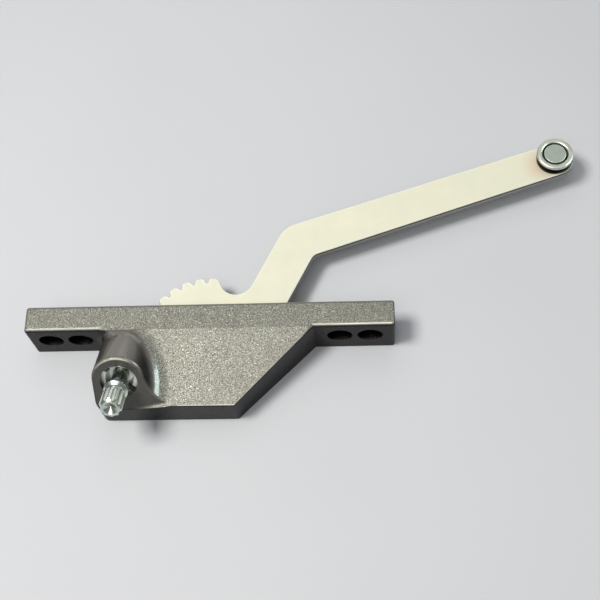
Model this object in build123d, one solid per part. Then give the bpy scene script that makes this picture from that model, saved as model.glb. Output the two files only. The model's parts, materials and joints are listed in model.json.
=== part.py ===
from build123d import *
import math
import os

# Window crank operator: a single-arm casement window operator with a roller.
#
# Millimetres, +Z up. +X runs along the housing towards the arm's free end, and +Y out of the back,
# where the arm leaves. The origin is under the arm's pivot, in the plane that the housing rests on.
# The arm is drawn part way open, and turns about the vertical axis through the origin.

# ---------------------------------------------------------------- driving dimensions

# Housing: a bar with two screw ears, and the gearbox cover in front of it
bar_length = 141.0
bar_depth = 10.4
bar_height = 20.2
pivot_from_left_end = 69.2
pivot_from_back = 10.8
cover_depth = 29.15
cover_front_height = 14.9
cover_corner_x = 11.9
cover_side_x = 41.3
wall = 2.2
roof = 2.0
corner_radius = 1.0
top_edge_radius = 1.4
ear_edge_run_out = 45.0
cover_edge_radius = 0.7
boss_corner_radius = 3.0

# Screw holes through the ears, front to back
left_hole_inset = 8.5
right_hole_inset = 9.35
ear_hole_pitch = 11.55
ear_hole_z = 10.8
screw_hole_radius = 2.6
screw_head_radius = 4.8
screw_head_depth = 6.0

# Arm: a steel stamping with a toothed sector round the pivot, a neck, and a long reach to the roller.
# The centre lines of the neck and the reach pass the pivot at these offsets to the left. The reach
# ends in a half round a little beyond the roller, and its edges lean apart from there by the taper.
arm_bottom = 9.3
arm_thickness = 3.2
arm_edge_radius = 0.45
reach_heading = 18.5
reach_offset = 27.4
reach_length = 154.4
reach_taper = 0.33
reach_end_radius = 7.2
reach_end_overhang = 1.0
neck_width = 16.0
neck_offset = -13.4
dogleg_turn = 45.2
outer_elbow_radius = 10.5
inner_elbow_radius = 4.5
gullet_radius = 6.6
gullet_along_neck = 26.7

# Sector teeth: round lobes with narrow notches between them, and a wide stop lobe without notches
teeth_per_turn = 28
tooth_tip_radius = 25.1
tooth_root_radius = 22.8
hub_radius = 21.4
stop_lobe_corner_radius = 2.6
sector_end_radius = 1.2
first_notch = 94.4
notch_count = 11
notch_root_half_width = 0.5
notch_flank_half_width = 1.0
notch_flank_end = 23.95
notch_mouth_half_width = 2.75
notch_flank_bulge = 0.29

# Crank shaft: its axis leans up towards the front, and crosses the arm's mid plane at mesh_y
crank_tilt = 35.0
crank_x = -30.3
mesh_y = -5.0
boss_radius = 10.1
boss_blend_radius = 8.0
boss_bar_blend_radius = 2.5
boss_rim_radius = 1.2
boss_face_crease_run = 4.0
bore_radius = 7.0
bore_wall = 2.1

# Worm: one right-hand thread
worm_lead = 4.47
worm_root_radius = 4.7
worm_tip_radius = 6.75
thread_root_width = 2.0
thread_tip_width = 0.95
shoulder_radius = 6.5

# Stations along the crank axis, counted forwards from the arm's mid plane
worm_rear = -8.1
worm_rear_taper = 2.6
thread_front = 8.6
worm_front = 9.6
bush_rear = 10.7
seal_station = 12.8
journal_front = 14.9
bush_front = 18.2
boss_front = 20.4
collar_rear = 24.2
collar_front = 26.0
groove_rear = 26.9
spline_rear = 27.8
shaft_tip = 37.2

# Crank shaft radii
journal_radius = 4.5
shaft_neck_radius = 2.9
collar_radius = 4.5
collar_chamfer = 0.4
undercut_radius = 3.3
spline_radius = 4.2
spline_lead_in = 1.4
spline_count = 10
groove_radius = 1.0
groove_centre = 4.45
tip_chamfer = 1.1
tip_recess_radius = 2.5
tip_recess_depth = 1.8
rear_journal_radius = 2.0
rear_journal_length = 2.9

# Crank shaft bearings and retaining bush
rear_bush_radius = 2.8
end_disc_thickness = 0.8
thrust_washer_radius = 6.8
bush_mouth_radius = 5.3
bush_notch_width = 2.4
bush_notch_depth = 3.2
seal_section_radius = 0.7
seal_groove_width = 1.6

# Pivot: pin, bush and washers
pin_radius = 4.0
pin_top = 17.0
tenon_radius = 3.0
pivot_boss_radius = 8.0
arm_bush_radius = 5.25
washer_radius = 8.0
washer_thickness = 0.5
spacer_radius = 7.0

# Base plate and its screws
plate_thickness = 1.2
plate_gap = 0.1
post_radius = 3.2
post_places = [(-35.2, -24.0), (-3.0, -23.6), (30.6, -3.4), (-13.0, 5.6)]
plate_screw_radius = 1.5
plate_screw_head_radius = 2.4
plate_screw_length = 6.5
driver_slot_width = 0.7
driver_slot_depth = 0.5

# Roller at the arm's end: a flanged ring on a headed stud
roller_radius = 7.2
roller_barrel_radius = 5.8
roller_height = 3.6
roller_flange_height = 1.5
roller_recess_radius = 5.0
roller_recess_depth = 1.7
roller_edge_radius = 0.7
roller_bush_radius = 3.6
stud_radius = 2.6
stud_head_radius = 4.4
stud_head_height = 1.5
stud_head_edge_radius = 0.3
stud_tail_radius = 4.0
stud_tail_height = 1.0
stud_tail_chamfer = 0.8
roller_washer_radius = 4.9
roller_washer_thickness = 1.0

# Clearances: of a turning fit on the radius, of end play, and round the arm's path
running_gap = 0.05
end_gap = 0.05
path_gap = 0.4

far = 100.0

# ---------------------------------------------------------------- worked-out sizes and places

bar_left = -pivot_from_left_end
bar_right = bar_left + bar_length
bar_back = pivot_from_back
bar_front = bar_back - bar_depth
cover_front = bar_front - cover_depth
cover_slope = (bar_height - cover_front_height) / cover_depth
ear_holes = [bar_left + left_hole_inset, bar_left + left_hole_inset + ear_hole_pitch,
             bar_right - right_hole_inset - ear_hole_pitch, bar_right - right_hole_inset]

arm_top = arm_bottom + arm_thickness
arm_mid = arm_bottom + arm_thickness / 2
neck_heading = reach_heading + dogleg_turn
tooth_angle = 360 / teeth_per_turn

lower_washer_bottom = arm_bottom - end_gap - washer_thickness
upper_washer_bottom = arm_top + end_gap
pivot_boss_bottom = upper_washer_bottom + washer_thickness
path_bottom = arm_bottom - path_gap
path_top = pivot_boss_bottom

tilt_cos = math.cos(math.radians(crank_tilt))
tilt_sin = math.sin(math.radians(crank_tilt))
crank_frame = Plane(origin=(crank_x, mesh_y, arm_mid), x_dir=(1, 0, 0), z_dir=(0, -tilt_cos, tilt_sin))

# The boss's crest runs into the bar's front top edge, which sets how high its round top lies
boss_crest = (bar_front - mesh_y) * tilt_sin + (bar_height - arm_mid) * tilt_cos
boss_lift = boss_crest - boss_radius
boss_left = crank_x - boss_radius

# The notch that the worm's thread lies in, and the slant of the thread there
mesh_notch = first_notch + tooth_angle * round((180 - first_notch) / tooth_angle + 0.5)
mesh_radius = (tooth_tip_radius + tooth_root_radius) / 2
mesh_x = mesh_radius * math.cos(math.radians(mesh_notch)) - crank_x
mesh_step = mesh_radius * math.sin(math.radians(mesh_notch)) - mesh_y
thread_station = -mesh_step * tilt_cos
thread_angle = math.degrees(math.atan2(mesh_step * tilt_sin, mesh_x)) - thread_station / worm_lead * 360
thread_lean = math.degrees(math.atan(worm_lead / (2 * math.pi * mesh_x)))
notch_slant = math.degrees(math.atan2(
    tilt_sin - math.tan(math.radians(thread_lean)) * tilt_cos,
    tilt_cos + math.tan(math.radians(thread_lean)) * tilt_sin))

# The bore's rear end, and the rear of the disc that the shaft's rear end runs against
rear_face = worm_rear - 6 * end_gap
disc_rear = worm_rear - rear_journal_length - 2 * end_gap - end_disc_thickness
seal_radius = journal_radius + running_gap + seal_section_radius

plate_top = plate_thickness
roller_bottom = arm_top + roller_washer_thickness + end_gap
roller_floor = roller_bottom + roller_height - roller_recess_depth


# ---------------------------------------------------------------- small helpers

def block(low, high):
    """A box between two corners."""
    size = [b - a for a, b in zip(low, high)]
    return Pos(*low) * Box(*size, align=Align.MIN)


def rod(radius, low, high):
    """A cylinder about Z between two heights."""
    upright = (Align.CENTER, Align.CENTER, Align.MIN)
    return Pos(0, 0, low) * Cylinder(radius, high - low, align=upright)


def tube(outer, inner, low, high):
    """A ring about Z between two heights."""
    return rod(outer, low, high) - rod(inner, low - 1, high + 1)


def turned(*points):
    """A solid turned about Z from its (radius, height) outline."""
    outline = make_face(Polyline(*[(r, 0, z) for r, z in points], close=True))
    return revolve(outline, Axis.Z, 360)


def wedge(*points):
    """Everything across the housing's width inside an outline of (y, z) points."""
    return extrude(Plane.YZ * make_face(Polyline(*points, close=True)), amount=far, both=True)


def ahead(heading):
    """A step of 1 mm in plan, this many degrees anticlockwise from +X."""
    return Vector(1, 0).rotate(Axis.Z, heading)


def on_line(line, along):
    """A point on a line in plan. A line is its heading and how far to the pivot's left it passes."""
    heading, offset = line
    return ahead(heading) * along + ahead(heading + 90) * offset


def line_beside(point, heading, distance):
    """The line with this heading that passes this far to the left of a point."""
    return heading, point.dot(ahead(heading + 90)) + distance


def foot(line, point):
    """The point on such a line that is nearest to a point."""
    return on_line(line, point.dot(ahead(line[0])))


def crossing(line_a, line_b):
    """The point where two such lines cross."""
    turn = math.radians(line_a[0] - line_b[0])
    return on_line(line_a, (line_b[1] - line_a[1] * math.cos(turn)) / math.sin(turn))


def round_corner(face, corner, radius):
    """A flat face with the corner nearest to this point rounded."""
    return fillet(face.vertices().sort_by_distance(corner)[0], radius)


def edges_where(shape, test):
    """The edges of a shape whose middle point passes a test."""
    return shape.edges().filter_by(lambda edge: test(edge.center()))


def close_to(a, b):
    return abs(a - b) < 0.05


# ---------------------------------------------------------------- housing, outside

def slope_height(y):
    """Height of the cover's sloping top at y."""
    return bar_height - cover_slope * (bar_front - y)


def sloping_half():
    """The cover's slope and the boss's right half, blended along the line where they meet."""
    right_side = block((crank_x, -far, -far), (far, bar_front + wall, far))
    slope = right_side & wedge((-far, -far), (far, -far), (far, slope_height(far)), (-far, slope_height(-far)))
    body = slope + (boss_run() & right_side)
    meeting = edges_where(body, lambda c: crank_x < c.X < crank_x + boss_radius + 0.1
                          and cover_front * 1.5 < c.Y < bar_front and abs(c.Z - slope_height(c.Y)) < 1.0)
    return fillet(meeting, boss_blend_radius)


def boss_run():
    """The boss's tunnel-shaped section, run along the crank axis well past both its ends."""
    section = Pos(0, boss_lift) * (Circle(boss_radius) + Pos(0, -far / 4) * Rectangle(2 * boss_radius, far / 2))
    return crank_frame * Pos(0, 0, -far / 2) * extrude(section, amount=far)


def straight_half():
    """The boss's left half, blended into the bar's front face."""
    bar_part = block((bar_left, bar_front, -far), (crank_x, bar_back, far))
    left_side = block((bar_left, -far, -far), (crank_x, bar_front + wall, far))
    body = bar_part + (boss_run() & left_side)
    meeting = edges_where(body, lambda c: close_to(c.Y, bar_front) and boss_left - 0.1 < c.X < crank_x - 0.1
                          and c.Z > -far * 0.9)
    return fillet(meeting, boss_bar_blend_radius)


def in_front_of_boss_face():
    """The space in front of the boss's slanting face. Its crease climbs to the cover's front edge."""
    before_face = crank_frame * block((-far, -far, boss_front), (far, far, far))
    crease_height = arm_mid + (boss_front + tilt_cos * (cover_front - mesh_y)) / tilt_sin
    foot_x = crank_x + boss_radius + boss_blend_radius
    crease_end = Vector(crank_x + boss_face_crease_run, cover_front, crease_height)
    edge_point = Vector(foot_x, cover_front, cover_front_height)
    foot_rise = tilt_sin * cover_slope - tilt_cos
    foot_y = mesh_y + (boss_front - tilt_sin * (slope_height(mesh_y) - arm_mid)) / foot_rise
    foot_point = Vector(foot_x, foot_y, slope_height(foot_y))
    upward = (edge_point - crease_end).cross(foot_point - crease_end)
    facet = Plane(origin=crease_end, x_dir=edge_point - crease_end, z_dir=upward)
    return before_face & (facet * block((-far, -far, 0), (far, far, far)))


def housing_outside():
    """The casting's outer shape, before it is hollowed."""
    plan = make_face(Polyline(
        (bar_left, cover_front), (cover_corner_x, cover_front), (cover_side_x, bar_front),
        (bar_right, bar_front), (bar_right, bar_back), (bar_left, bar_back), close=True))
    right_bar = block((crank_x, bar_front, -1), (bar_right, bar_back, bar_height))
    body = (sloping_half() + straight_half() + right_bar) & extrude(plan, amount=far)
    crest_rise = far * tilt_sin / tilt_cos
    body -= wedge((far, bar_height), (bar_front, bar_height), (bar_front - far, bar_height + crest_rise),
                  (bar_front - far, 3 * far), (far, 3 * far))
    body -= in_front_of_boss_face()
    return round_edges(body)


def round_edges(body):
    """The same body with its outer edges rounded, as a casting's are."""
    upright = body.edges().filter_by(Axis.Z).filter_by(
        lambda edge: edge.length > bar_height / 2
        and (edge.center().X in (bar_left, bar_right) or close_to(edge.center().X, cover_corner_x)))
    body = fillet(upright, corner_radius)
    boss_corner = body.edges().filter_by(Axis.Z).filter_by(
        lambda edge: close_to(edge.center().X, boss_left) and close_to(edge.center().Y, cover_front))
    body = fillet(boss_corner, boss_corner_radius)

    def on_boss_face(point):
        local = crank_frame.to_local_coords(point)
        return close_to(local.Z, boss_front) and local.Y > -boss_radius - boss_face_crease_run / 4

    body = fillet(edges_where(body, on_boss_face), boss_rim_radius)
    body = fillet(edges_where(body, lambda c: close_to(c.Y, bar_back) and close_to(c.Z, bar_height)),
                  top_edge_radius)
    body = fillet(edges_where(body, lambda c: close_to(c.Z, bar_height) and c.X > cover_side_x + 0.1
                              and c.Y < bar_back - 2 * top_edge_radius), top_edge_radius)
    body = fillet(edges_where(body, lambda c: close_to(c.Y, cover_front) and close_to(c.Z, cover_front_height)),
                  cover_edge_radius)
    return body - left_ear_edge_waste()


def left_ear_edge_waste():
    """What rounding takes off the left ear's top front edge, as far as into the blend beside the boss."""
    blend_start = boss_left - boss_bar_blend_radius
    corner = Pos(top_edge_radius / 2, -top_edge_radius / 2) * Rectangle(top_edge_radius, top_edge_radius)
    section = corner - Pos(top_edge_radius, -top_edge_radius) * Circle(top_edge_radius)
    across = Plane(origin=(blend_start, bar_front, bar_height), x_dir=(0, 1, 0), z_dir=(1, 0, 0)) * section
    blend_axis = Axis((blend_start, bar_front - boss_bar_blend_radius, 0), (0, 0, 1))
    return extrude(across, amount=bar_left - 1 - blend_start) + revolve(across, blend_axis, -ear_edge_run_out)


# ---------------------------------------------------------------- housing, inside

def inner_plan(gap):
    """Plan of the hollow under the cover, drawn in from its walls by a gap."""
    inset = wall + gap
    side_run = cover_side_x - cover_corner_x
    diagonal = math.hypot(side_run, cover_depth)
    side_shift = inset * diagonal / cover_depth
    corner_x = cover_corner_x - side_shift + inset * side_run / cover_depth
    return make_face(Polyline(
        (boss_left + inset, cover_front + inset), (corner_x, cover_front + inset),
        (cover_side_x - side_shift, bar_front), (cover_side_x - side_shift, bar_back - inset),
        (boss_left + inset, bar_back - inset), close=True))


def posts(low, high, radius):
    """Upright rods at the base plate's screw places."""
    return [Pos(x, y, 0) * rod(radius, low, high) for x, y in post_places]


def hollow():
    """The space under the cover, less what the casting keeps in it."""
    under_roof = wedge((-far, -1), (far, -1), (far, bar_height - roof), (bar_front, bar_height - roof),
                       (-far, slope_height(-far) - roof))
    space = extrude(inner_plan(0), amount=far) & under_roof
    space -= rod(pivot_boss_radius, pivot_boss_bottom, far)
    space -= posts(plate_top, path_bottom, post_radius)
    space -= crank_frame * rod(bore_radius + bore_wall, worm_front - end_gap, far)
    rear_block_half = rear_bush_radius + wall
    rear_block = crank_frame * block((-rear_block_half, -far, -far), (rear_block_half, far, rear_face))
    return space - (rear_block & block((-far, -far, plate_top), (far, far, path_bottom)))


def arm_path():
    """The space that the arm's sector and neck swing through, and the slot that they leave by."""
    round_part = rod(tooth_tip_radius + path_gap, path_bottom, path_top)
    slot_right = cover_side_x + wall - path_gap
    slot = block((0, bar_front + wall, path_bottom), (slot_right, bar_back + 1, path_top))
    return round_part + slot


def screw_hole(x):
    """A counterbored screw hole through an ear, its head side at the front."""
    through = rod(screw_hole_radius, -1, bar_depth + 1)
    head = rod(screw_head_radius, -1, screw_head_depth)
    back_wards = Plane(origin=(x, bar_front, ear_hole_z), x_dir=(1, 0, 0), z_dir=(0, 1, 0))
    return back_wards * (through + head)


def housing():
    body = housing_outside() - hollow() - arm_path()
    body -= crank_frame * rod(bore_radius, rear_face, far)
    body -= crank_frame * rod(rear_bush_radius, disc_rear, rear_face + 1)
    body -= rod(pin_radius, pivot_boss_bottom - 1, pin_top)
    body -= posts(plate_top - 1, plate_screw_length, plate_screw_radius)
    for x in ear_holes:
        body -= screw_hole(x)
    return body


# ---------------------------------------------------------------- base plate and pivot

def base_plate():
    plate = extrude(inner_plan(plate_gap), amount=plate_thickness)
    plate -= rod(tenon_radius, -1, plate_top + 1)
    sink = turned((0, -0.1), (plate_screw_head_radius + 0.1, -0.1),
                  (plate_screw_radius, plate_screw_head_radius - plate_screw_radius), (0, plate_thickness))
    for x, y in post_places:
        plate -= Pos(x, y, 0) * (sink + rod(plate_screw_radius, -1, plate_top + 1))
    return plate


def base_plate_screws():
    """Four countersunk screws, flush with the plate's underside."""
    head = plate_screw_head_radius - plate_screw_radius
    screw = turned((0, 0), (plate_screw_head_radius, 0), (plate_screw_radius, head),
                   (plate_screw_radius, plate_screw_length), (0, plate_screw_length))
    half = plate_screw_head_radius + 1
    screw -= block((-half, -driver_slot_width / 2, -1), (half, driver_slot_width / 2, driver_slot_depth))
    return Compound(children=[Pos(x, y, 0) * screw for x, y in post_places])


def pivot_pin():
    return rod(pin_radius, plate_top, pin_top) + rod(tenon_radius, 0, plate_top)


def arm_spacer():
    return tube(spacer_radius, pin_radius, plate_top, lower_washer_bottom)


def lower_thrust_washer():
    return tube(washer_radius, pin_radius, lower_washer_bottom, lower_washer_bottom + washer_thickness)


def upper_thrust_washer():
    return tube(washer_radius, pin_radius, upper_washer_bottom, pivot_boss_bottom)


def arm_bush():
    return tube(arm_bush_radius, pin_radius + running_gap, arm_bottom, arm_top)


# ---------------------------------------------------------------- arm

def notch(angle):
    """The gap between two sector teeth, cut on the slant that the worm's thread has there."""
    flank = (notch_flank_end, notch_flank_half_width)
    mouth = (tooth_tip_radius, notch_mouth_half_width)
    root = (tooth_root_radius, notch_root_half_width)
    half = make_face([
        Polyline((tooth_tip_radius, 0), (tooth_root_radius, 0), root, flank),
        SagittaArc(flank, mouth, -notch_flank_bulge),
        Polyline(mouth, (tooth_tip_radius + 1, notch_mouth_half_width), (tooth_tip_radius + 1, 0),
                 (tooth_tip_radius, 0))])
    gap = Pos(0, 0, arm_mid) * (half + mirror(half, Plane.XZ))
    lean = math.radians(notch_slant)
    cut = extrude(gap, amount=arm_thickness, dir=(0, -math.sin(lean), math.cos(lean)), both=True)
    return Rot(0, 0, angle) * cut


def roller_point():
    return on_line((reach_heading, reach_offset), reach_length)


def reach_end():
    """The middle of the half round that the reach ends in."""
    return roller_point() + ahead(reach_heading) * reach_end_overhang


def roller_place():
    return Pos(roller_point())


def dogleg():
    """The neck and the reach in plan, with rounded elbows."""
    neck_left = (neck_heading, neck_offset + neck_width / 2)
    neck_right = (neck_heading, neck_offset - neck_width / 2)
    reach_left = line_beside(reach_end(), reach_heading - reach_taper, reach_end_radius)
    reach_right = line_beside(reach_end(), reach_heading + reach_taper, -reach_end_radius)
    outer_elbow = crossing(neck_left, reach_left)
    inner_elbow = crossing(neck_right, reach_right)
    plan = make_face(Polyline(
        on_line(neck_left, hub_radius / 2), outer_elbow,
        foot(reach_left, reach_end()), foot(reach_right, reach_end()),
        inner_elbow, on_line(neck_right, 0), close=True))
    plan = round_corner(plan, outer_elbow, outer_elbow_radius)
    return round_corner(plan, inner_elbow, inner_elbow_radius)


def sector():
    """The hub, the toothed rim and the stop lobe in plan, with a round gullet between lobe and neck."""
    fan_end = first_notch + (notch_count - 1) * tooth_angle
    rim = CenterArc((0, 0), tooth_tip_radius, neck_heading, fan_end - neck_heading)
    fan = make_face([rim, Polyline(rim @ 1, (0, 0), rim @ 0)])
    neck_left = (neck_heading, neck_offset + neck_width / 2)
    gullet = on_line((neck_heading, neck_left[1] + gullet_radius), gullet_along_neck)
    web = make_face(Polyline((0, 0), on_line(neck_left, 0), on_line(neck_left, gullet_along_neck), gullet,
                             close=True))
    plan = Circle(hub_radius) + fan + web - Pos(gullet) * Circle(gullet_radius)
    lobe_corner = crossing_of_circles(gullet, gullet_radius, tooth_tip_radius)
    plan = round_corner(plan, lobe_corner, stop_lobe_corner_radius)
    plan = round_corner(plan, rim @ 1, sector_end_radius)
    return round_corner(plan, ahead(fan_end) * hub_radius, sector_end_radius)


def arm():
    """The stamped arm: hub, toothed sector, stop lobe, neck and reach."""
    outline = sector() + dogleg() + Pos(reach_end()) * Circle(reach_end_radius)
    plate = Pos(0, 0, arm_bottom) * extrude(outline, amount=arm_thickness)
    plate = fillet(edges_where(plate, lambda c: close_to(c.Z, arm_top)), arm_edge_radius)
    plate -= rod(arm_bush_radius, 0, far)
    plate -= roller_place() * rod(stud_radius, 0, far)
    for count in range(notch_count):
        plate -= notch(first_notch + count * tooth_angle)
    return plate


def crossing_of_circles(centre, radius, pivot_circle_radius):
    """Where a circle meets a circle about the pivot, on the side that is anticlockwise from its centre."""
    reach = centre.length
    cosine = (pivot_circle_radius ** 2 + reach ** 2 - radius ** 2) / (2 * pivot_circle_radius * reach)
    return ahead(math.degrees(math.atan2(centre.Y, centre.X) + math.acos(cosine))) * pivot_circle_radius


# ---------------------------------------------------------------- crank shaft and its bearings

def worm_thread():
    """The worm's thread, as a bare helical ridge that reaches into the worm's core."""
    root_inside = 0.3
    flank = (thread_root_width - thread_tip_width) / (worm_tip_radius - worm_root_radius) / 2
    inner_half = thread_root_width / 2 + root_inside * flank
    height = worm_tip_radius - worm_root_radius + root_inside
    spare = worm_lead
    turns_from = worm_rear - spare
    path = Helix(worm_lead, worm_front - worm_rear + spare, worm_root_radius - root_inside)
    outline = make_face(Polyline((0, -inner_half), (height, -thread_tip_width / 2),
                                 (height, thread_tip_width / 2), (0, inner_half), close=True))
    upright = Plane(origin=path @ 0, x_dir=(1, 0, 0), z_dir=(0, -1, 0))
    ridge = sweep(upright * outline, path=path, is_frenet=True)
    start_angle = thread_angle + turns_from / worm_lead * 360
    return Pos(0, 0, turns_from) * Rot(0, 0, start_angle) * ridge


def worm_shaft():
    """Rear journal, worm, front journal, neck, collar and splined end, all in one piece."""
    rear_end = worm_rear - rear_journal_length
    core = turned(
        (0, rear_end), (rear_journal_radius, rear_end), (rear_journal_radius, worm_rear),
        (worm_root_radius, worm_rear), (worm_root_radius, thread_front), (shoulder_radius, thread_front),
        (shoulder_radius, worm_front), (journal_radius, worm_front), (journal_radius, journal_front),
        (shaft_neck_radius, journal_front), (shaft_neck_radius, collar_rear),
        (collar_radius - collar_chamfer, collar_rear), (collar_radius, collar_rear + collar_chamfer),
        (collar_radius, collar_front), (undercut_radius, groove_rear), (undercut_radius, spline_rear),
        (0, spline_rear))
    thread_room = turned(
        (0, worm_rear), (worm_root_radius, worm_rear), (worm_tip_radius, worm_rear + worm_rear_taper),
        (worm_tip_radius, thread_front), (0, thread_front))
    spline = turned(
        (0, spline_rear), (undercut_radius, spline_rear), (spline_radius, spline_rear + spline_lead_in),
        (spline_radius, shaft_tip - tip_chamfer), (spline_radius - tip_chamfer, shaft_tip),
        (tip_recess_radius, shaft_tip), (0, shaft_tip - tip_recess_depth))
    for place in PolarLocations(groove_centre, spline_count):
        spline -= place * rod(groove_radius, spline_rear, shaft_tip + 1)
    return crank_frame * (core + (worm_thread() & thread_room) + spline)


def retaining_bush():
    """The threaded ring in the boss's mouth, with four notches for its spanner."""
    bore = journal_radius + running_gap
    ring = turned(
        (bore, bush_rear), (bore_radius, bush_rear), (bore_radius, bush_front),
        (bush_mouth_radius, bush_front), (bore, journal_front), (bore, bush_rear))
    ring -= tube(seal_radius + seal_section_radius, bore - 1, seal_station - seal_groove_width / 2,
                 seal_station + seal_groove_width / 2)
    for turn in (45, 135):
        ring -= Rot(0, 0, turn) * block((-far, -bush_notch_width / 2, bush_front - bush_notch_depth),
                                        (far, bush_notch_width / 2, far))
    return crank_frame * ring


def shaft_seal():
    return crank_frame * Pos(0, 0, seal_station) * Torus(seal_radius, seal_section_radius)


def shaft_thrust_washer():
    return crank_frame * tube(thrust_washer_radius, journal_radius + running_gap, worm_front + end_gap,
                              bush_rear)


def rear_bush():
    length_end = worm_rear - 2 * end_gap
    return crank_frame * tube(rear_bush_radius, rear_journal_radius + running_gap,
                              disc_rear + end_disc_thickness, length_end)


def end_thrust_disc():
    return crank_frame * rod(rear_bush_radius, disc_rear, disc_rear + end_disc_thickness)


# ---------------------------------------------------------------- roller

def roller():
    """A flanged ring: the flange runs in the sash's track, and its recess hides the stud's head."""
    top = roller_bottom + roller_height
    flange_bottom = top - roller_flange_height
    ring = turned(
        (roller_bush_radius, roller_bottom), (roller_barrel_radius, roller_bottom),
        (roller_barrel_radius, flange_bottom), (roller_radius, flange_bottom), (roller_radius, top),
        (roller_recess_radius, top), (roller_recess_radius, roller_floor), (roller_bush_radius, roller_floor))
    rims = edges_where(ring, lambda c: close_to(c.Z, top))
    return roller_place() * fillet(rims, roller_edge_radius)


def roller_bush():
    return roller_place() * tube(roller_bush_radius, stud_radius + running_gap, roller_bottom, roller_floor)


def roller_washer():
    return roller_place() * tube(roller_washer_radius, stud_radius, arm_top, arm_top + roller_washer_thickness)


def roller_stud():
    """The riveted stud: a flat head over the roller, and a spread tail under the arm."""
    head_bottom = roller_floor + end_gap
    head = rod(stud_head_radius, head_bottom, head_bottom + stud_head_height)
    head_rim = edges_where(head, lambda c: close_to(c.Z, head_bottom + stud_head_height))
    head = fillet(head_rim, stud_head_edge_radius)
    tail_bottom = arm_bottom - stud_tail_height
    tail = turned((0, tail_bottom), (stud_tail_radius - stud_tail_chamfer, tail_bottom),
                  (stud_tail_radius, arm_bottom), (0, arm_bottom))
    return roller_place() * (head + rod(stud_radius, arm_bottom, head_bottom) + tail)


# ---------------------------------------------------------------- output

sub_parts = [
    housing, base_plate, base_plate_screws, pivot_pin, arm_spacer, lower_thrust_washer, upper_thrust_washer,
    retaining_bush, shaft_seal, shaft_thrust_washer, rear_bush, end_thrust_disc, worm_shaft,
    arm, arm_bush, roller_stud, roller_washer, roller, roller_bush,
]

if __name__ == "__main__":
    os.makedirs("parts", exist_ok=True)
    for make in sub_parts:
        export_step(make(), f"parts/{make.__name__}.step")
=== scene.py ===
"""Looks of the window crank operator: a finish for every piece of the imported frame, the floor, the
lights and the camera. Lengths are in metres, in the part's own frame: X along the housing, Y out of
its back, Z up from the face that stands on the sill."""

import json
import math

import bpy
from mathutils import Matrix, Vector


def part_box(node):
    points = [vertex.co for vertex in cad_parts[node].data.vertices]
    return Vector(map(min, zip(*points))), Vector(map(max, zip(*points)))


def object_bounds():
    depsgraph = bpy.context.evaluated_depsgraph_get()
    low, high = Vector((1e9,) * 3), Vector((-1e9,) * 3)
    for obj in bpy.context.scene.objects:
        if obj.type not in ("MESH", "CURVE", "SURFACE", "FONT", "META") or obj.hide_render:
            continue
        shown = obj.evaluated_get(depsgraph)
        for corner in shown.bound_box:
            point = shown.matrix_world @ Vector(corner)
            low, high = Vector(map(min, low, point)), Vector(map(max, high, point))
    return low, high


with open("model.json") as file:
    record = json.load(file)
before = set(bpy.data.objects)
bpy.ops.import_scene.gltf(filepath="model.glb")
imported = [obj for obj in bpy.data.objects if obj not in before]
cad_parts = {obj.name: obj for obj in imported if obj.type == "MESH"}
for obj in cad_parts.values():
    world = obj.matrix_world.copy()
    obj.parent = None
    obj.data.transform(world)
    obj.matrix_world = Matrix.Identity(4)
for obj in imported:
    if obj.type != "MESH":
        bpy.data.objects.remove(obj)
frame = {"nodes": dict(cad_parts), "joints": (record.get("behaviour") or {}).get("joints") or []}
cad_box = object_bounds()
nodes = frame["nodes"]
joints = {joint["name"]: joint for joint in frame["joints"]}

MM = 0.001

# --------------------------------------------------------------------------------------------
# Places that the finishes refer to
# --------------------------------------------------------------------------------------------

up = Vector((0, 0, 1))
crank_point = Vector(joints["crank_spin"]["pos_m"])
crank_axis = Vector(joints["crank_spin"]["axis"])
roller_point = Vector(joints["roller_spin"]["pos_m"])
pivot_point = Vector(joints["arm_swing"]["pos_m"])
arm_low, arm_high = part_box("arm")
roller_low, roller_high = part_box("roller")

# Where the boss's blend ends on the cover, and about the height of the cover's front edge
blend_foot_x = crank_point.x + 21 * MM
cover_edge_z = 14 * MM


# --------------------------------------------------------------------------------------------
# Building a finish
# --------------------------------------------------------------------------------------------

# Near black, painted as shade: in hollows and grooves, under the roller's rim, on the roller's lower side
# and in a line on the arm's sheared edge
painted_shade_black = (0.012, 0.012, 0.011)

# Nearly all noise lies between these
noise_low, noise_high = 0.3, 0.7

# How well a rounded normal agrees with the true one on a flat face, and on a sharp edge
flat_agreement, sharp_agreement = 0.985, 0.86

edge_samples = 4
shade_samples = 6


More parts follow.
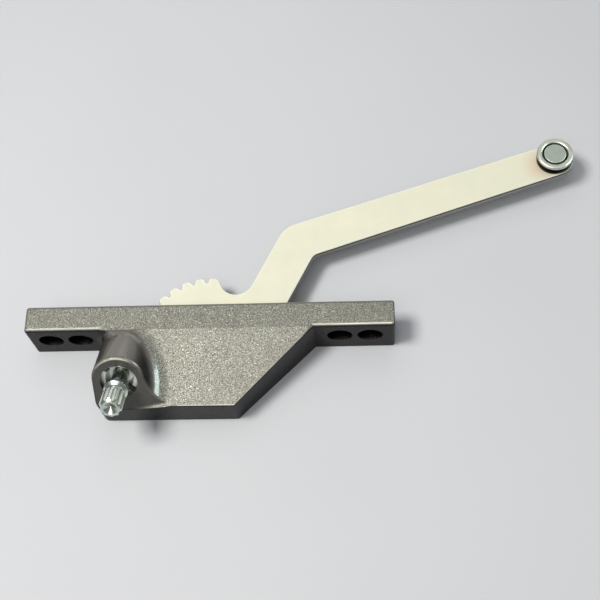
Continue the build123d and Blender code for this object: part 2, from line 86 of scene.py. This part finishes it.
class Finish:
    """A material while it is being put together: one Principled shader, and short ways to add the
    nodes that drive it. Textures run in the object's own coordinates, so they move with it."""

    def __init__(self, name, **sockets):
        self.material = bpy.data.materials.new(name)
        self.material.use_nodes = True
        self.nodes = self.material.node_tree.nodes
        self.links = self.material.node_tree.links
        self.shader = self.nodes["Principled BSDF"]
        self.set(self.shader, {key.replace("_", " "): value for key, value in sockets.items()})
        self.coordinates = self.nodes.new("ShaderNodeTexCoord")
        self.where = self.coordinates.outputs["Object"]
        self.facing = self.coordinates.outputs["Normal"]

    def set(self, node, values):
        """Joins or writes each value into the node's input of that name or number."""
        for key, value in values.items():
            if isinstance(value, bpy.types.NodeSocket):
                self.links.new(value, node.inputs[key])
            else:
                node.inputs[key].default_value = value

    def node(self, kind, values, **settings):
        """A new node of this kind, with these input values and settings."""
        made = self.nodes.new(kind)
        for key, value in settings.items():
            setattr(made, key, value)
        self.set(made, values)
        return made

    def maths(self, operation, a, b):
        return self.node("ShaderNodeMath", {0: a, 1: b}, operation=operation).outputs[0]

    def product(self, a, b):
        return self.maths("MULTIPLY", a, b)

    def total(self, a, b):
        return self.maths("ADD", a, b)

    def larger(self, a, b):
        return self.maths("MAXIMUM", a, b)

    def between(self, value, low, high):
        """0 at low and beyond it, 1 at high and beyond it, and smooth between them. Low may be the
        larger number of the two."""
        limits = {"Value": value, "From Min": low, "From Max": high}
        return self.node("ShaderNodeMapRange", limits, interpolation_type="SMOOTHSTEP").outputs[0]

    def scaled(self, value, low, high, to_low, to_high):
        """The value, taken from the range low to high to the range to_low to to_high."""
        limits = {"Value": value, "From Min": low, "From Max": high, "To Min": to_low, "To Max": to_high}
        return self.node("ShaderNodeMapRange", limits).outputs[0]

    def spread(self, noise, to_low=0.0, to_high=1.0):
        """Noise, stretched so that it fills the range to_low to to_high."""
        return self.scaled(noise, noise_low, noise_high, to_low, to_high)

    def mix(self, factor, a, b):
        """Colour a where the factor is 0, colour b where it is 1."""
        made = self.node("ShaderNodeMix", {"Factor": factor}, data_type="RGBA")
        for socket, value in ((made.inputs[6], a), (made.inputs[7], b)):
            if isinstance(value, bpy.types.NodeSocket):
                self.links.new(value, socket)
            else:
                socket.default_value = (*value, 1)
        return made.outputs[2]

    def noise(self, size, detail=3.0, where=None, roughness=0.5):
        """Cloudy noise from 0 to 1 whose patches are about size metres across."""
        values = {"Vector": where or self.where, "Scale": 1 / size, "Detail": detail}
        values["Roughness"] = roughness
        return self.node("ShaderNodeTexNoise", values).outputs[0]

    def grains(self, size):
        """Two random numbers from 0 to 1 for each of the cells, which are about size metres across."""
        made = self.node("ShaderNodeTexVoronoi", {"Vector": self.where, "Scale": 1 / size})
        split = self.node("ShaderNodeSeparateColor", {0: made.outputs["Color"]})
        return split.outputs[0], split.outputs[1]

    def parts(self, vector):
        """The X, Y and Z of a vector."""
        return self.node("ShaderNodeSeparateXYZ", {0: vector}).outputs

    def stretched(self, factors):
        """Coordinates multiplied by the three factors: noise there has patches of another shape."""
        values = {0: self.where, 1: factors}
        return self.node("ShaderNodeVectorMath", values, operation="MULTIPLY").outputs[0]

    def round_axis(self, point, axis):
        """The distance from an axis and the place along it, as two numbers in metres."""
        turn = Vector(axis).rotation_difference(up).to_euler()
        moved = self.node("ShaderNodeVectorMath", {0: self.where, 1: point}, operation="SUBTRACT")
        values = {"Vector": moved.outputs[0], "Rotation": turn}
        turned = self.node("ShaderNodeVectorRotate", values, rotation_type="EULER_XYZ")
        x, y, along = self.parts(turned.outputs[0])
        flat = self.node("ShaderNodeCombineXYZ", {0: x, 1: y})
        distance = self.node("ShaderNodeVectorMath", {0: flat.outputs[0]}, operation="LENGTH")
        return distance.outputs["Value"], along

    def distance_to(self, point):
        """The distance from a point, in metres."""
        values = {0: self.where, 1: point}
        made = self.node("ShaderNodeVectorMath", values, operation="DISTANCE")
        return made.outputs["Value"]

    def edges(self, radius):
        """1 on edges sharper than the radius, 0 on flats, from how well a rounded normal agrees with
        the true one. Edges that the CAD has rounded more than that don't show in it."""
        rounded = self.node("ShaderNodeBevel", {"Radius": radius}, samples=edge_samples).outputs[0]
        true_normal = self.node("ShaderNodeNewGeometry", {}).outputs["Normal"]
        values = {0: rounded, 1: true_normal}
        agreement = self.node("ShaderNodeVectorMath", values, operation="DOT_PRODUCT").outputs["Value"]
        return self.scaled(agreement, flat_agreement, sharp_agreement, 0.0, 1.0)

    def hollows(self, reach, open_shade=0.8, deep_shade=0.35):
        """1 deep inside holes and grooves of the same piece, 0 in the open, from how much of its
        surroundings, out to the reach, a point can see."""
        values = {"Distance": reach}
        made = self.node("ShaderNodeAmbientOcclusion", values, samples=shade_samples, only_local=True)
        return self.scaled(made.outputs["AO"], open_shade, deep_shade, 0.0, 1.0)

    def finish(self, colour, roughness, height, depth, metallic=None, edge_radius=0.15 * MM):
        """Drives the shader. The height, 0 to 1, becomes a relief that is depth metres deep, on a
        surface whose edges look rounded."""
        rounded = self.node("ShaderNodeBevel", {"Radius": edge_radius}, samples=edge_samples).outputs[0]
        values = {"Height": height, "Distance": depth, "Strength": 1.0, "Normal": rounded}
        normal = self.node("ShaderNodeBump", values).outputs[0]
        self.set(self.shader, {"Base Color": colour, "Roughness": roughness, "Normal": normal})
        if metallic is not None:
            self.set(self.shader, {"Metallic": metallic})
        return self.material


# --------------------------------------------------------------------------------------------
# The finishes
# --------------------------------------------------------------------------------------------


def bronze_paint():
    """Metallic bronze paint on the cast housing, with light and shade painted by which way a face looks.
    Level faces and the blend beside the boss show its flakes, painted lit, with a few painted glints. The
    boss is smooth and glossy, and sloping faces such as the boss get a painted brown reflection. Steep
    faces carry painted shade, darkest at the front and the sides, holes are painted black as shade, and
    the rounded edges that lean to the front carry a painted highlight, while sharp edges get a faint pale
    line that is partly wear and partly painted highlight."""
    flake_size = 0.2 * MM
    cloud_size = 16 * MM
    fine_size = 0.5 * MM
    flake_dark, flake_light, glint_highlight_colour = (0.085, 0.083, 0.068), (0.34, 0.337, 0.283), (0.75, 0.74, 0.65)
    cloudy = (0.165, 0.156, 0.134)
    # Painted light by face direction: brown as a painted reflection on sloping faces, and painted shade
    # on steep faces, lighter towards the rear
    brown_dark, brown_light = (0.13, 0.117, 0.1), (0.165, 0.15, 0.13)
    front_dark, front_light = (0.008, 0.0076, 0.0076), (0.036, 0.0335, 0.032)
    rear_dark, rear_light = (0.045, 0.042, 0.037), (0.13, 0.124, 0.108)
    # Pale of the painted edge highlight, and of faint wear on sharp edges
    highlight_and_wear_pale = (0.85, 0.81, 0.69)
    hole_painted_shade = (0.002, 0.0019, 0.0018)

    f = Finish("bronze_paint", Coat_Roughness=0.1)
    shade, lean = f.grains(flake_size)
    cloud = f.noise(cloud_size, detail=4)
    fine = f.noise(fine_size, detail=2)

    # Which way a face looks: right, back and rise are the parts of its normal
    right, back, rise = f.parts(f.facing)
    not_rear = f.between(back, 0.4, 0.15)
    level = f.product(f.between(rise, 0.55, 0.95), not_rear)
    sloping = f.between(rise, 0.35, 0.85)

    # Level faces, painted lit: a dark or light flake in each cell, a few with a painted glint, and duller
    # clouds over them
    flaked = f.mix(f.between(shade, 0.05, 0.85), flake_dark, flake_light)
    glint = f.between(f.product(shade, f.spread(fine, 0.85, 1.1)), 0.88, 1.0)
    flaked = f.mix(glint, flaked, glint_highlight_colour)
    clouded = f.mix(f.spread(cloud, 0.0, 0.3), flaked, cloudy)

    # Painted light by face direction: sloping faces get a painted brown reflection, and steep ones
    # painted shade with faint flakes, darkest at the front and lighter towards the rear
    brown = f.mix(fine, brown_dark, brown_light)
    faint_flakes = f.between(shade, 0.3, 1.0)
    front = f.mix(faint_flakes, front_dark, front_light)
    rear = f.mix(faint_flakes, rear_dark, rear_light)
    steep = f.mix(f.between(back, 0.3, 0.7), front, rear)
    colour = f.mix(level, f.mix(sloping, steep, brown), clouded)

    # Painted highlight on the rounded edges that lean to the front, except where the boss's blend runs
    # into them and where they lean to the right as well. Sharp edges get a faint pale line, partly wear
    # and partly painted highlight
    x, _, z = f.parts(f.where)
    front_rounding = f.product(f.between(back, -0.2, -0.4), f.between(rise, 0.68, 0.85))
    clear_of_blend = f.between(x, blend_foot_x - MM, blend_foot_x + MM)
    above_cover = f.scaled(z, cover_edge_z, cover_edge_z + 8 * MM, 0, 0.6)
    not_right = f.between(right, 0.3, 0.1)
    highlight_where = f.product(f.larger(clear_of_blend, above_cover), not_right)
    sharp = f.product(f.edges(0.5 * MM), f.scaled(rise, 0.3, 1, 0.0, 0.3))
    highlight_and_wear = f.larger(f.product(front_rounding, highlight_where), sharp)
    colour = f.mix(f.product(highlight_and_wear, f.scaled(cloud, 0.35, 0.6, 0.6, 1.0)), colour, highlight_and_wear_pale)

    # Painted shade: the screw holes and the boss's mouth are painted black
    colour = f.mix(f.hollows(12 * MM, 0.8, 0.55), colour, hole_painted_shade)

    # Gloss: a clear coat on sloping faces only, and little shine on steep ones
    level_roughness = f.scaled(lean, 0.0, 1.0, 0.42, 0.66)
    other_roughness = f.spread(fine, 0.26, 0.36)
    values = {0: level, 2: other_roughness, 3: level_roughness}
    roughness = f.node("ShaderNodeMix", values).outputs[0]
    coated = f.scaled(f.product(sloping, f.between(rise, 0.99, 0.9)), 0, 1, 0.02, 1.0)
    f.set(f.shader, {"Coat Weight": coated, "Specular IOR Level": f.scaled(sloping, 0, 1, 0.08, 0.3)})
    relief = f.total(f.product(f.product(lean, level), 0.6), fine)
    metallic = f.product(f.scaled(sloping, 0, 1, 0.05, 0.5), f.scaled(highlight_and_wear, 0, 1, 1.0, 0.2))
    return f.finish(colour, roughness, relief, 0.01 * MM, metallic, edge_radius=0.25 * MM)


def cream_coat():
    """Ivory enamel on the stamped arm: faintly mottled on top, with a painted highlight along the rounded
    top edge, and stained with old grease beside the roller. It is thin on the sheared edge below the top
    edge, which has a painted dark line of shade, then a painted grey reflection of the floor with shear
    streaks, darker towards the bottom. Under the roller's rim the arm is painted black as the roller's
    shadow."""
    ivory, ivory_shade = (0.8, 0.785, 0.6), (0.755, 0.745, 0.585)
    speck_brown = (0.36, 0.31, 0.22)
    grease_stain = (0.7, 0.54, 0.4)
    side_reflection_grey, lower_side_grey, sheared_streak = (0.42, 0.42, 0.39), (0.22, 0.225, 0.21), (0.42, 0.41, 0.34)
    rim_highlight_white = (1.0, 0.99, 0.9)

    f = Finish("cream_coat", Coat_Weight=0.2, Coat_Roughness=0.2)
    cloud = f.noise(9 * MM, detail=5, roughness=0.6)
    peel = f.noise(1.1 * MM, detail=2)
    shade, _ = f.grains(0.5 * MM)
    colour = f.mix(f.spread(cloud), ivory, ivory_shade)
    specks = f.between(shade, 0.985, 0.995)
    colour = f.mix(f.product(specks, 0.12), colour, speck_brown)

    # The stain spreads from under the roller, down the arm. Under the roller's rim the arm is painted
    # black as the roller's shadow
    along_arm = ((roller_point - pivot_point) * Vector((1, 1, 0))).normalized()
    stain_centre = roller_point - along_arm * (6 * MM)
    ragged = f.total(f.distance_to(stain_centre), f.scaled(cloud, 0, 1, -2 * MM, 2 * MM))
    stain = f.scaled(ragged, 3 * MM, 9 * MM, 0.75, 0.0)
    colour = f.mix(stain, colour, grease_stain)
    from_roller, _ = f.round_axis(roller_point, up)
    rim_radius = (roller_high.x - roller_low.x) / 2
    # Painted shadow under the roller's rim
    colour = f.mix(f.between(from_roller, rim_radius, rim_radius - 0.6 * MM), colour, painted_shade_black)

    # The sheared edge: a painted dark line of shade under the rounded top edge, then grey, a painted
    # reflection of the floor with shear streaks, darker towards the bottom
    rise = f.parts(f.facing)[2]
    side = f.between(rise, 0.45, 0.1)
    streaks = f.noise(0.5 * MM, detail=3, where=f.stretched((1, 1, 0.12)))
    height = f.total(f.parts(f.where)[2], f.spread(streaks, -0.2 * MM, 0.2 * MM))
    lower_side = f.between(height, arm_low.z + 1.5 * MM, arm_low.z + 0.9 * MM)
    line = f.between(height, arm_high.z - 1.6 * MM, arm_high.z - 1.3 * MM)
    grey = f.mix(lower_side, side_reflection_grey, lower_side_grey)
    grey = f.mix(f.spread(streaks, 0.0, 0.4), grey, sheared_streak)
    colour = f.mix(side, colour, f.mix(line, grey, painted_shade_black))
    # Painted highlight along the rounded top edge
    rim = f.product(f.edges(1.1 * MM), f.between(rise, 0.3, 0.6))
    colour = f.mix(f.product(rim, 0.85), colour, rim_highlight_white)

    roughness = f.total(f.spread(peel, 0.34, 0.46), f.product(side, 0.2))
    relief = f.total(peel, f.product(f.product(streaks, side), 2.0))
    return f.finish(colour, roughness, relief, depth=0.015 * MM, edge_radius=0.1 * MM)


def turned_metal(name, light, dark, point, axis, roughness=(0.2, 0.36), lathe=0.12 * MM, tint=None,
                 wear=(0.85, 0.85, 0.82), hollow_reach=2.5 * MM, hollow_limits=(0.8, 0.35), painted_shade_to=None):
    """Metal that was turned on a lathe: fine rings round the axis, clouded plating, bright edges and
    painted shade in its grooves. It is painted black as shade from its rear as far along the axis as its
    last argument says."""
    painted_shade_edge = 0.15 * MM
    f = Finish(name, Metallic=1.0)
    distance, along = f.round_axis(point, axis)
    ring_place = f.node("ShaderNodeCombineXYZ", {0: distance, 1: along})
    rings = f.noise(lathe, detail=3, where=ring_place.outputs[0])
    cloud = f.noise(2.5 * MM, detail=5, roughness=0.65)
    colour = f.mix(f.spread(cloud), light, dark)
    if tint is not None:
        colour = f.mix(f.scaled(f.noise(5 * MM, detail=2), 0.5, 0.75, 0.0, 0.6), colour, tint)
    colour = f.mix(f.product(rings, 0.3), colour, dark)
    colour = f.mix(f.product(f.edges(0.3 * MM), 0.7), colour, wear)
    # Painted shade: hollows and grooves darkened to near black
    colour = f.mix(f.product(f.hollows(hollow_reach, *hollow_limits), 0.95), colour, painted_shade_black)
    if painted_shade_to is not None:
        # Painted shade: black from the rear along the axis
        colour = f.mix(f.between(along, painted_shade_to + painted_shade_edge, painted_shade_to - painted_shade_edge), colour, painted_shade_black)
    rough = f.scaled(f.total(rings, cloud), 2 * noise_low, 2 * noise_high, *roughness)
    return f.finish(colour, rough, rings, depth=0.006 * MM, edge_radius=0.12 * MM)


def rolled_metal(name, light, dark, spots, grain, roughness=(0.28, 0.5), metallic=1.0):
    """Sheet metal: streaks from rolling along the grain direction, plating with cloudy patches and
    small spots."""
    wear = (0.8, 0.8, 0.78)
    f = Finish(name, Metallic=metallic)
    streaks = f.noise(0.4 * MM, detail=4, where=f.stretched(grain))
    cloud = f.noise(6 * MM, detail=5, roughness=0.65)
    patch, _ = f.grains(3.5 * MM)
    colour = f.mix(f.spread(cloud), light, dark)
    colour = f.mix(f.product(patch, 0.22), colour, dark)
    colour = f.mix(f.between(f.noise(1.4 * MM, detail=4), 0.66, 0.74), colour, spots)
    colour = f.mix(f.product(f.edges(0.3 * MM), 0.6), colour, wear)
    rough = f.scaled(f.total(streaks, patch), 0.3, 1.7, *roughness)
    return f.finish(colour, rough, streaks, depth=0.008 * MM)


def moulded(name, light, dark, dust, roughness=(0.45, 0.62), grain=0.35 * MM, depth=0.015 * MM):
    """Moulded plastic or rubber: fine eroded texture, faint flow clouds and paler, dusty edges."""
    f = Finish(name)
    skin = f.noise(grain, detail=3)
    flow = f.noise(3 * MM, detail=4, where=f.stretched((1, 0.4, 1)))
    colour = f.mix(f.spread(flow), light, dark)
    colour = f.mix(f.product(f.edges(0.3 * MM), 0.6), colour, dust)
    return f.finish(colour, f.spread(skin, *roughness), skin, depth=depth)


bronze = bronze_paint()
cream = cream_coat()
bright_zinc = turned_metal("bright_zinc", (0.76, 0.79, 0.7), (0.5, 0.55, 0.49), crank_point, crank_axis,
                           roughness=(0.16, 0.34), tint=(0.68, 0.74, 0.78), hollow_reach=1.2 * MM,
                           hollow_limits=(0.85, 0.4))
bush_zinc = turned_metal("bush_zinc", (0.84, 0.85, 0.78), (0.62, 0.64, 0.6), crank_point, crank_axis,
                         roughness=(0.26, 0.44), lathe=0.25 * MM, tint=(0.8, 0.76, 0.6),
                         hollow_limits=(0.85, 0.45))
thrust_steel = turned_metal("thrust_steel", (0.55, 0.55, 0.54), (0.36, 0.36, 0.35), crank_point,
                            crank_axis, roughness=(0.26, 0.44))
pivot_steel = turned_metal("pivot_steel", (0.58, 0.58, 0.57), (0.38, 0.38, 0.37), pivot_point, up,
                           roughness=(0.24, 0.42))
pivot_brass = turned_metal("pivot_brass", (0.72, 0.53, 0.25), (0.5, 0.35, 0.15), pivot_point, up,
                           roughness=(0.28, 0.45), wear=(0.85, 0.68, 0.38))
# The roller is painted black as shade from below to 1 mm under its top, and in its hollows
satin_nickel = turned_metal("satin_nickel", (0.78, 0.79, 0.67), (0.6, 0.62, 0.52), roller_point, up,
                            roughness=(0.3, 0.45), lathe=0.18 * MM, hollow_reach=2 * MM,
                            hollow_limits=(0.6, 0.25),
                            painted_shade_to=roller_high.z - roller_point.z - 1.0 * MM)
rivet_steel = turned_metal("rivet_steel", (0.52, 0.56, 0.48), (0.4, 0.44, 0.38), roller_point, up,
                           roughness=(0.4, 0.56), lathe=0.6 * MM, wear=(0.72, 0.75, 0.66))
washer_steel = turned_metal("washer_steel", (0.3, 0.3, 0.29), (0.18, 0.18, 0.17), roller_point, up,
                            roughness=(0.3, 0.5))
roller_brass = turned_metal("roller_brass", (0.5, 0.37, 0.18), (0.3, 0.21, 0.1), roller_point, up,
                            roughness=(0.3, 0.5), wear=(0.6, 0.48, 0.27))
plate_zinc = rolled_metal("plate_zinc", (0.62, 0.64, 0.62), (0.42, 0.44, 0.43), (0.5, 0.47, 0.36),
                          grain=(0.08, 1, 1))
black_oxide = rolled_metal("black_oxide", (0.09, 0.09, 0.1), (0.045, 0.045, 0.05), (0.16, 0.11, 0.07),
                           grain=(1, 1, 0.3), roughness=(0.35, 0.55), metallic=0.8)
acetal = moulded("acetal", (0.72, 0.71, 0.66), (0.63, 0.62, 0.57), dust=(0.8, 0.79, 0.75))
rubber = moulded("rubber", (0.025, 0.025, 0.027), (0.04, 0.039, 0.038), dust=(0.12, 0.115, 0.11),
                 roughness=(0.6, 0.8), grain=0.2 * MM, depth=0.03 * MM)

finish_of = {
    "housing": bronze,
    "base_plate": plate_zinc,
    "base_plate_screws": black_oxide,
    "pivot_pin": pivot_steel,
    "arm_spacer": pivot_steel,
    "lower_thrust_washer": acetal,
    "upper_thrust_washer": acetal,
    "arm_bush": pivot_brass,
    "arm": cream,
    "worm_shaft": bright_zinc,
    "retaining_bush": bush_zinc,
    "shaft_seal": rubber,
    "shaft_thrust_washer": thrust_steel,
    "rear_bush": acetal,
    "end_thrust_disc": thrust_steel,
    "roller": satin_nickel,
    "roller_bush": roller_brass,
    "roller_washer": washer_steel,
    "roller_stud": rivet_steel,
}
for name, node in nodes.items():
    for slot in node.material_slots:
        slot.material = finish_of[name]


# --------------------------------------------------------------------------------------------
# Floor, lights and camera
# --------------------------------------------------------------------------------------------


def floor():
    """A pale seamless sheet under the object, rising far behind it in a wide curve."""
    half_width = 5
    front, flat_to, curve_radius, top = -5, 1.6, 0.6, 2.2
    curve_steps = 12
    paper, paper_shade = (0.6, 0.61, 0.63), (0.62, 0.63, 0.645)
    profile = [(front, 0.0), (flat_to, 0.0)]
    for step in range(1, curve_steps + 1):
        angle = math.radians(90) * step / curve_steps
        profile.append((flat_to + curve_radius * math.sin(angle), curve_radius * (1 - math.cos(angle))))
    profile.append((flat_to + curve_radius, top))
    corners = [(side * half_width, y, z) for y, z in profile for side in (-1, 1)]
    faces = [(2 * i, 2 * i + 1, 2 * i + 3, 2 * i + 2) for i in range(len(profile) - 1)]
    mesh = bpy.data.meshes.new("floor")
    mesh.from_pydata(corners, [], faces)
    mesh.shade_smooth()
    sheet = bpy.data.objects.new("floor", mesh)
    bpy.context.scene.collection.objects.link(sheet)
    f = Finish("floor_paper")
    tooth = f.noise(1.5 * MM, detail=3)
    cloud = f.noise(120 * MM, detail=2)
    colour = f.mix(f.spread(cloud), paper, paper_shade)
    mesh.materials.append(f.finish(colour, f.spread(tooth, 0.66, 0.76), tooth, 0.01 * MM))


def soft_light(name, direction, distance, size, power, colour, diffuse=True):
    """A panel of this width and height, in metres, that shines along direction onto the middle of
    the object, with its power in watts. One that is not diffuse shows only as a reflection."""
    heading = Vector(direction).normalized()
    middle = (Vector(cad_box[0]) + Vector(cad_box[1])) / 2
    lamp = bpy.data.lights.new(name, "AREA")
    lamp.energy = power
    lamp.shape = "RECTANGLE"
    lamp.size, lamp.size_y = size
    lamp.color = colour
    holder = bpy.data.objects.new(name, lamp)
    holder.location = middle - heading * distance
    holder.visible_diffuse = diffuse
    holder.rotation_euler = heading.to_track_quat("-Z", "Y").to_euler()
    bpy.context.scene.collection.objects.link(holder)


def camera():
    """The camera stands in front of the object, high up, and looks down at the floor behind the
    housing."""
    place = Vector((62.41, -168.85, 404.83)) * MM
    aim = Vector((34.84, 20.69, 0)) * MM
    roll = math.radians(-8.7)
    focal_length, sensor = 67.47, 36
    nearest_seen = 10 * MM
    lens = bpy.data.cameras.new("camera")
    lens.lens = focal_length
    lens.sensor_width = sensor
    lens.clip_start = nearest_seen
    holder = bpy.data.objects.new("camera", lens)
    look = (aim - place).to_track_quat("-Z", "Y").to_matrix().to_4x4()
    holder.matrix_world = Matrix.Translation(place) @ look @ Matrix.Rotation(roll, 4, "Z")
    bpy.context.scene.collection.objects.link(holder)
    bpy.context.scene.camera = holder


def surroundings(colour, brightness):
    """Even light of this colour from all round."""
    world = bpy.data.worlds.new("studio")
    world.use_nodes = True
    background = world.node_tree.nodes["Background"]
    background.inputs["Color"].default_value = (*colour, 1)
    background.inputs["Strength"].default_value = brightness
    bpy.context.scene.world = world


floor()
warm, neutral, cool, blue = (1, 0.985, 0.95), (1, 1, 1), (0.93, 0.97, 1), (0.8, 0.97, 1)
soft_light("key", (0.42, 0.1, -1), distance=0.95, size=(0.24, 0.24), power=6.8, colour=warm)
soft_light("ceiling", (0.06, -0.42, -0.9), distance=1.2, size=(0.9, 0.9), power=2.0, colour=neutral)
soft_light("behind", (0, -1, -0.16), distance=1.2, size=(1.3, 0.5), power=2.2, colour=neutral)
soft_light("front", (0.05, 1, -0.12), distance=1.0, size=(0.7, 0.3), power=0.4, colour=cool)
# Seen only in reflections, most of all in the light streak beside the boss
soft_light("streak", (-0.81, -0.12, -0.535), distance=0.7, size=(0.3, 0.3), power=3, colour=blue,
           diffuse=False)
soft_light("fill", (0.15, 0.44, -0.91), distance=0.9, size=(0.4, 0.4), power=1.2, colour=neutral)
surroundings((0.93, 0.96, 1.0), brightness=0.2)
camera()
bpy.context.scene.view_settings.view_transform = "Standard"
